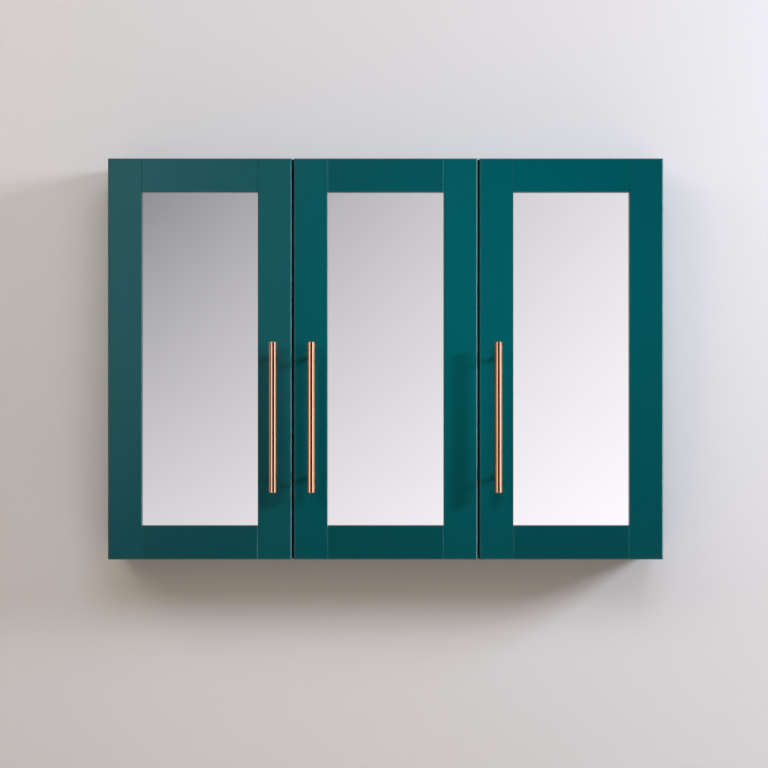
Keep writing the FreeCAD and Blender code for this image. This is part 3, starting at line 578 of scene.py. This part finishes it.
class ScrewTree(Nodes):
    """Geometry nodes that put a cross-headed screw on each point, with its head's base on the point."""

    def __init__(self, sides):
        super().__init__(bpy.data.node_groups.new("cross_head_screws", "GeometryNodeTree"))
        self.sides = sides
        self.socket("Points", "NodeSocketGeometry")
        for label in SCREW_INPUTS:
            self.socket(label, "NodeSocketFloat")
        self.socket("Turn", "NodeSocketRotation")
        self.socket("Finish", "NodeSocketMaterial")
        self.socket("Screws", "NodeSocketGeometry", "OUTPUT")
        self.given = self.add("NodeGroupInput").outputs
        self.half_head = self.math("MULTIPLY", self.given["Head Height"], 0.5)
        self.spread_copies(self.recess(self.joined(self.head(), self.shank())))

    def socket(self, name, kind, way="INPUT"):
        self.tree.interface.new_socket(name, in_out=way, socket_type=kind)

    def vector(self, x=0.0, y=0.0, z=0.0):
        return self.add("ShaderNodeCombineXYZ", {"X": x, "Y": y, "Z": z}).outputs[0]

    def head(self):
        """Head that widens from its base and draws in at its crown."""
        given = self.given
        radius = self.math("MULTIPLY", given["Head Diameter"], 0.5)
        blank = self.add(
            "GeometryNodeMeshCylinder",
            {
                "Vertices": self.sides,
                "Side Segments": HEAD_RINGS,
                "Radius": radius,
                "Depth": given["Head Height"],
            },
            fill_type="NGON",
        )
        place = self.add("GeometryNodeInputPosition").outputs[0]
        rise = self.math("ADD", self.math("DIVIDE", self.axis(place, "Z"), given["Head Height"]), 0.5)
        widening = self.math("MULTIPLY", self.math("SUBTRACT", 1.0, given["Base Share"]), rise)
        taper = self.math("ADD", given["Base Share"], widening)
        dome = self.math("MULTIPLY", given["Crown"], self.math("POWER", rise, CROWN_POWER))
        girth = self.math("SUBTRACT", taper, dome)
        shaped = self.add(
            "ShaderNodeVectorMath", {0: place, 1: self.vector(girth, girth, 1.0)}, operation="MULTIPLY"
        )
        lifted = self.add(
            "ShaderNodeVectorMath",
            {0: shaped.outputs[0], 1: self.vector(z=self.half_head)},
            operation="ADD",
        )
        head = self.add(
            "GeometryNodeSetPosition", {"Geometry": blank.outputs["Mesh"], "Position": lifted.outputs[0]}
        )
        return head.outputs[0]

    def shank(self):
        """Smooth shank from the middle of the head down."""
        given = self.given
        rod = self.add(
            "GeometryNodeMeshCylinder",
            {
                "Vertices": self.sides,
                "Radius": self.math("MULTIPLY", given["Shank Diameter"], 0.5),
                "Depth": given["Shank Length"],
            },
            fill_type="NGON",
        )
        half_shank = self.math("MULTIPLY", given["Shank Length"], 0.5)
        return self.moved(rod.outputs["Mesh"], self.math("SUBTRACT", self.half_head, half_shank))

    def moved(self, mesh, height):
        node = self.add(
            "GeometryNodeTransform", {"Geometry": mesh, "Translation": self.vector(z=height)}
        )
        return node.outputs[0]

    def joined(self, head, shank):
        whole = self.add("GeometryNodeMeshBoolean", operation="UNION", solver="EXACT")
        self.links.new(head, whole.inputs["Mesh 2"])
        self.links.new(shank, whole.inputs["Mesh 2"])
        return whole.outputs["Mesh"]

    def recess(self, screw):
        """Cuts the cross into the top of the head with two bars, half of each above it."""
        given = self.given
        cut = self.add("GeometryNodeMeshBoolean", operation="DIFFERENCE", solver="EXACT")
        self.links.new(screw, cut.inputs["Mesh 1"])
        depth = self.math("MULTIPLY", given["Recess Depth"], 2.0)
        for across, along in (("Recess Width", "Slot Width"), ("Slot Width", "Recess Width")):
            size = self.vector(given[across], given[along], depth)
            bar = self.add("GeometryNodeMeshCube", {"Size": size}).outputs["Mesh"]
            self.links.new(self.moved(bar, given["Head Height"]), cut.inputs["Mesh 2"])
        return cut.outputs["Mesh"]

    def spread_copies(self, screw):
        given = self.given
        copies = self.add(
            "GeometryNodeInstanceOnPoints",
            {"Points": given["Points"], "Instance": screw, "Rotation": given["Turn"]},
        )
        real = self.add("GeometryNodeRealizeInstances", {"Geometry": copies.outputs[0]})
        coated = self.add(
            "GeometryNodeSetMaterial", {"Geometry": real.outputs[0], "Material": given["Finish"]}
        )
        self.links.new(coated.outputs[0], self.add("NodeGroupOutput").inputs["Screws"])


def head_seats(boxes, facing, axis, head_height):
    """Where the base of each screw's head sits, from the boxes of the solids they stand for."""
    seats = []
    for low, high in boxes:
        place = (low + high) / 2
        place[axis] = high[axis] - head_height if facing[0] == "+" else low[axis] + head_height
        seats.append(place)
    return seats


class ScrewMaker:
    """Makes sets of equal screws, each set as one plain mesh object."""

    def __init__(self, looks, finish):
        self.looks = looks
        self.finish = finish
        self.tree = ScrewTree(looks.sides).tree

    def sizes(self, box, axis, kind):
        """Every size of a screw of one kind that stands for the solid in a box."""
        low, high = box
        own = SCREW_KINDS[kind]
        head = high.z - low.z
        sizes = {
            "Head Diameter": head,
            "Base Share": 1.0,
            "Crown": self.looks.crown,
            "Shank Length": high[axis] - low[axis] - own["Head Height"] / 2,
            "Recess Width": head * self.looks.recess_share,
            "Slot Width": head * self.looks.slot_share,
            "Recess Depth": own["Head Height"] * self.looks.depth_share,
        }
        sizes.update(own)
        return sizes

    def make(self, name, boxes, facing, kind):
        """One screw for each box, with its head towards an axis such as +X."""
        axis = "XYZ".index(facing[1])
        values = self.sizes(boxes[0], axis, kind)
        mesh = bpy.data.meshes.new(name + "_points")
        mesh.from_pydata(head_seats(boxes, facing, axis, values["Head Height"]), [], [])
        holder = bpy.data.objects.new(name, mesh)
        bpy.context.scene.collection.objects.link(holder)
        values.update({"Turn": TURNS[facing], "Finish": self.finish})
        modifier = holder.modifiers.new("screws", "NODES")
        modifier.node_group = self.tree
        for item in self.tree.interface.items_tree:
            if item.in_out == "INPUT" and item.name in values:
                modifier[item.identifier] = values[item.name]
        bpy.context.view_layer.update()
        graph = bpy.context.evaluated_depsgraph_get()
        result = bpy.data.meshes.new_from_object(holder.evaluated_get(graph))
        holder.modifiers.remove(modifier)
        holder.data = result
        if not result.polygons:
            raise RuntimeError("no screws were made for " + name)
        return holder


class CABINET_OT_drive_screws(bpy.types.Operator):
    """Replace the plain screws with cross-headed ones"""

    bl_idname = "cabinet.drive_screws"
    bl_label = "Drive screws"

    def execute(self, context):
        maker = ScrewMaker(context.scene.cabinet_screws, bpy.data.materials["zinc_plate"])
        hinge = solid_boxes("hinge_screws")
        longest = max(high.x - low.x for low, high in hinge)
        for side, facing in (("left", "+X"), ("right", "-X")):
            here = [box for box in hinge if (box[0].x < 0) == (side == "left")]
            arm = [box for box in here if box[1].x - box[0].x > longest * LONG_SHARE]
            plate = [box for box in here if box not in arm]
            for kind, boxes in (("plate", plate), ("arm", arm)):
                screws = maker.make(side + "_" + kind + "_screws", boxes, facing, kind)
                self.drive(screws, "carcass", "hinge_screws")
        hanger = maker.make("hanger_cross_screws", solid_boxes("hanger_screws"), "-Y", "hanger")
        self.drive(hanger, "carcass", "hanger_screws")
        for door in DOORS:
            for kind in ("cup", "handle"):
                node = door + "_" + kind + "_screws"
                name = door + "_" + kind + "_cross_screws"
                self.drive(maker.make(name, solid_boxes(node), "+Y", kind), door + "_door", node)
        return {"FINISHED"}

    def drive(self, screws, body, node):
        """Puts screws on a body, in place of the plain ones of a CAD node."""
        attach(screws, body)
        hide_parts(node)


LAMP_AIM = Vector((0.0, -0.1, -0.25))
PLAIN = (1.0, 1.0, 1.0)
KEY_PLACE = (2.40, -1.24, 0.51)
KEY_TINT = (0.795, 0.859, 1.0)
SMALL_LAMP = (0.25, 0.25)

# Upright strips: the level of their middles, and their height
STRIP_LEVEL = -0.34
STRIP_HEIGHT = 1.8


class Lamp(NamedTuple):
    """An area lamp: the group of pieces that it lights, its power setting, place, size and tint."""

    name: str
    lights: str
    power: str
    place: tuple
    size: tuple
    tint: tuple = PLAIN
    gloss: bool = True
    diffuse: bool = True


# The door frames have lamps of their own, and only edges or handles reflect the strips
LAMPS = (
    Lamp("key_softbox", "room", "key", KEY_PLACE, (0.83, 0.68), tint=KEY_TINT),
    Lamp(
        "front_softbox", "room", "front", (0.33, -3.13, 1.46), (1.57, 1.26),
        tint=(0.753, 0.813, 1.0), gloss=False,
    ),
    Lamp(
        "fill_softbox", "room", "fill", (-1.37, -1.69, 0.80), (1.78, 0.97),
        tint=(1.0, 0.946, 0.887), gloss=False,
    ),
    Lamp(
        "room_softbox", "room", "room", (0.0, -4.5, 0.9), (6.0, 6.0),
        tint=(1.0, 0.83, 0.664), gloss=False,
    ),
    Lamp("door_key", "frames", "door_key", KEY_PLACE, (0.22, 0.22), tint=KEY_TINT, gloss=False),
    Lamp("door_left", "frames", "door_left", (-0.66, -1.15, 0.18), SMALL_LAMP, gloss=False),
    Lamp("door_near", "frames", "door_near", (0.20, -0.65, -0.12), SMALL_LAMP, gloss=False),
    Lamp("haze_left", "left_frame", "haze", (-1.0, -4.4, 0.3), (1.2, 2.0)),
    Lamp("haze_middle", "middle_frame", "haze_middle", (-0.9, -4.4, 1.5), (1.2, 1.2)),
    Lamp("back_softbox", "cabinet", "back_light", (-0.9, 2.6, 0.9), (1.8, 1.8)),
    Lamp(
        "edge_left", "frames", "edge_left", (-2.10, -0.57, STRIP_LEVEL), (0.70, STRIP_HEIGHT),
        diffuse=False,
    ),
    Lamp(
        "edge_right", "edges", "edge_right", (2.10, -0.57, STRIP_LEVEL), (0.70, STRIP_HEIGHT),
        diffuse=False,
    ),
    Lamp(
        "left_strip", "handles", "left_strip", (-1.35, -1.91, STRIP_LEVEL), (0.80, STRIP_HEIGHT),
        tint=(0.50, 0.70, 1.0), diffuse=False,
    ),
    Lamp(
        "right_strip", "handles", "right_strip", (1.94, -1.21, STRIP_LEVEL), (1.20, STRIP_HEIGHT),
        tint=(0.38, 0.62, 1.0), diffuse=False,
    ),
)


def area_light(lamp, looks):
    """Soft lamp that the camera doesn't see, and gloss or matt surfaces only where its row says so."""
    light = bpy.data.lights.new(lamp.name, "AREA")
    light.shape = "RECTANGLE"
    light.size, light.size_y = lamp.size
    light.energy = getattr(looks, lamp.power)
    light.color = lamp.tint
    light.cycles.use_multiple_importance_sampling = lamp.gloss
    holder = bpy.data.objects.new(lamp.name, light)
    bpy.context.scene.collection.objects.link(holder)
    holder.location = lamp.place
    holder.rotation_euler = (LAMP_AIM - Vector(lamp.place)).to_track_quat("-Z", "Y").to_euler()
    holder.visible_camera = False
    holder.visible_glossy = lamp.gloss
    holder.visible_diffuse = lamp.diffuse
    return holder


def light_only(lamp, pieces):
    """Lets a lamp or a glowing card light some pieces and no others."""
    lit = bpy.data.collections.new(lamp.name + "_pieces")
    for piece in pieces:
        lit.objects.link(piece)
    lamp.light_linking.receiver_collection = lit


def sheet_object(name, corners, material):
    """Flat stage piece."""
    mesh = bpy.data.meshes.new(name)
    mesh.from_pydata([Vector(corner) for corner in corners], [], [range(len(corners))])
    piece = bpy.data.objects.new(name, mesh)
    bpy.context.scene.collection.objects.link(piece)
    mesh.materials.append(material)
    return piece


def wall_paint(looks):
    """Matt wall paint, seen from the room only, so that the back of the cabinet can be looked at."""
    finish = Finish("wall_paint")
    patch = finish.noise(scale=2.2, detail=4.0)
    roller = finish.noise(scale=180.0, detail=2.0)
    dull = darker(looks.wall, factor=0.985)
    tone = finish.blend(finish.between(patch, 0.0, 1.0), dull, rgba(looks.wall))
    relief = finish.bump(roller, distance=0.00008)
    finish.dress(Base_Color=tone, Roughness=0.9, Specular_IOR_Level=0.1, Normal=relief)
    clear = finish.add("ShaderNodeBsdfTransparent").outputs[0]
    behind = finish.add("ShaderNodeNewGeometry").outputs["Backfacing"]
    sided = finish.add("ShaderNodeMixShader", {0: behind, 1: finish.shader.outputs[0], 2: clear})
    finish.cover(sided.outputs[0])
    return finish.material


def floor_paint(looks):
    """Matt floor that the camera, gloss and glass see paler than it is lit."""
    finish = Finish("floor_paint")
    fleck = finish.noise(scale=60.0, detail=4.0)
    dull = darker(looks.floor, factor=0.94)
    tone = finish.blend(finish.between(fleck, 0.0, 1.0), dull, rgba(looks.floor))
    finish.dress(Base_Color=tone, Roughness=0.7, Normal=finish.bump(fleck, distance=0.0001))
    glow = finish.add("ShaderNodeEmission", {"Color": rgba(looks.backdrop)}).outputs[0]
    pale = finish.math("MULTIPLY", finish.looking_ray(), looks.pale_floor)
    mix = finish.add("ShaderNodeMixShader", {0: pale, 1: finish.shader.outputs[0], 2: glow})
    finish.cover(mix.outputs[0])
    return finish.material


# Card behind the camera: its plane, its corners across and up, and the stretch that is graded
CARD_PLANE = -4.6
CARD_OUTLINE = ((-1.6, -1.9), (5.0, -1.9), (5.0, 2.4), (0.2, 2.4), (-0.95, 0.45))
CARD_LEFT, CARD_RIGHT = -0.95, 0.95
CARD_TOP, CARD_FOOT = 0.44, -0.82
CARD_TINT = (0.998, 0.973, 1.0)


def reflection_card(mirrors, looks):
    """Graded card behind the camera: the mirrors show its glow, other gloss only its dark face."""
    finish = Finish("graded_card")
    across = finish.axis(finish.place, "X")
    height = finish.axis(finish.place, "Z")
    bright = looks.card_dark + looks.card_across
    sideways = finish.between(across, looks.card_dark, bright, CARD_LEFT, CARD_RIGHT)
    right_gain = looks.card_down * looks.card_right
    gain = finish.between(across, looks.card_down, right_gain, CARD_LEFT, CARD_RIGHT)
    downwards = finish.between(height, 0.0, gain, CARD_TOP, CARD_FOOT)
    glow = finish.math("ADD", sideways, downwards)
    lamp = finish.add("ShaderNodeEmission", {"Color": rgba(CARD_TINT), "Strength": glow})
    finish.cover(lamp.outputs[0])
    corners = [(x, CARD_PLANE, z) for x, z in CARD_OUTLINE]
    card = sheet_object("graded_card", corners, finish.material)
    card.visible_camera = False
    card.visible_diffuse = False
    card.visible_shadow = False
    card.visible_transmission = False
    light_only(card, mirrors)


# Where the room grows dim on its far left, as the sideways part of the direction looked in
DIM_END, DIM_START = -0.93, -0.80


def room_light(looks):
    """Pale room that only the camera and glossy or clear pieces see."""
    world = bpy.data.worlds.new("studio_room")
    bpy.context.scene.world = world
    world.use_nodes = True
    world.cycles.sampling_method = "NONE"
    room = Nodes(world.node_tree)
    way = room.add("ShaderNodeTexCoord").outputs["Generated"]
    side = room.add(
        "ShaderNodeMapRange",
        {
            "Value": room.axis(way, "X"),
            "From Min": DIM_END,
            "From Max": DIM_START,
            "To Min": looks.dim_side,
        },
        interpolation_type="SMOOTHSTEP",
    )
    camera_ray = room.add("ShaderNodeLightPath").outputs["Is Camera Ray"]
    level = room.math("MAXIMUM", side.outputs["Result"], camera_ray)
    pale = room.nodes["Background"]
    room.feed(pale.inputs["Color"], rgba(looks.backdrop))
    room.feed(pale.inputs["Strength"], room.math("MULTIPLY", level, room.looking_ray()))


DOOR_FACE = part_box("left_hinge_stile")[0].y
WALL_AIR = 0.0004


class CABINET_OT_set_studio(bpy.types.Operator):
    """Build the wall, floor, lights and camera"""

    bl_idname = "cabinet.set_studio"
    bl_label = "Set studio"

    def execute(self, context):
        looks = context.scene.cabinet_studio
        cabinet = [piece for piece in context.scene.objects if piece.type == "MESH"]
        stage = self.build_room(looks)
        frames = named(door_nodes(*FRAME_PIECES))
        groups = {
            "room": [piece for piece in cabinet if piece not in frames] + stage,
            "cabinet": cabinet,
            "frames": frames,
            "left_frame": named(door_nodes(*FRAME_PIECES, doors=["left"])),
            "middle_frame": named(door_nodes(*FRAME_PIECES, doors=["middle"])),
            "edges": [piece for piece in frames if piece not in named(DULL_EDGED)],
            "handles": named(door_nodes("handle_bar", "handle_posts")),
        }
        for lamp in LAMPS:
            light_only(area_light(lamp, looks), groups[lamp.lights])
        room_light(looks)
        reflection_card(named(door_nodes("mirror")), looks)
        self.set_camera(context.scene, looks)
        context.scene.view_settings.view_transform = "Standard"
        return {"FINISHED"}

    def build_room(self, looks):
        """The wall behind the cabinet and the floor below it."""
        half = looks.room_width / 2
        back = CAD_HIGH.y + WALL_AIR
        floor = CAD_LOW.z - looks.floor_drop
        ceiling = floor + half
        upright = ((-half, floor), (half, floor), (half, ceiling), (-half, ceiling))
        wall = sheet_object("studio_wall", [(x, back, z) for x, z in upright], wall_paint(looks))
        wall.visible_shadow = False
        level = ((-half, half), (-half, -half), (half, -half), (half, half))
        ground = sheet_object("studio_floor", [(x, y, floor) for x, y in level], floor_paint(looks))
        return [wall, ground]

    def set_camera(self, scene, looks):
        """A level camera that looks straight at the doors."""
        lens = bpy.data.cameras.new("camera")
        lens.sensor_fit = "HORIZONTAL"
        lens.angle = 2 * math.atan(looks.view_width / 2 / looks.camera_distance)
        camera = bpy.data.objects.new("camera", lens)
        scene.collection.objects.link(camera)
        camera.location = (looks.view_x, DOOR_FACE - looks.camera_distance, looks.view_z)
        camera.rotation_euler = (math.pi / 2, 0.0, 0.0)
        scene.camera = camera


OPERATORS = (
    CABINET_OT_paint_boards,
    CABINET_OT_glaze,
    CABINET_OT_finish_handles,
    CABINET_OT_plate_hardware,
    CABINET_OT_finish_inside,
    CABINET_OT_drive_screws,
    CABINET_OT_set_studio,
)


class CABINET_PT_looks(bpy.types.Panel):
    """Steps and settings of the cabinet's looks"""

    bl_label = "Mirror cabinet"
    bl_idname = "CABINET_PT_looks"
    bl_space_type = "VIEW_3D"
    bl_region_type = "UI"
    bl_category = "Cabinet"

    def draw(self, context):
        for operator in OPERATORS:
            self.layout.operator(operator.bl_idname)
        for name, group in GROUPS.items():
            box = self.layout.box()
            box.label(text=group.__doc__)
            for key in group.__annotations__:
                box.prop(getattr(context.scene, name), key)


def register():
    for name, group in GROUPS.items():
        bpy.utils.register_class(group)
        setattr(bpy.types.Scene, name, PointerProperty(type=group))
    for cls in OPERATORS + (CABINET_PT_looks,):
        bpy.utils.register_class(cls)


def unregister():
    for cls in (CABINET_PT_looks,) + OPERATORS[::-1]:
        bpy.utils.unregister_class(cls)
    for name, group in reversed(GROUPS.items()):
        delattr(bpy.types.Scene, name)
        bpy.utils.unregister_class(group)


def main():
    register()
    bpy.ops.cabinet.paint_boards()
    bpy.ops.cabinet.glaze()
    bpy.ops.cabinet.finish_handles()
    bpy.ops.cabinet.plate_hardware()
    bpy.ops.cabinet.finish_inside()
    bpy.ops.cabinet.drive_screws()
    bpy.ops.cabinet.set_studio()


if __name__ == "__main__":
    main()
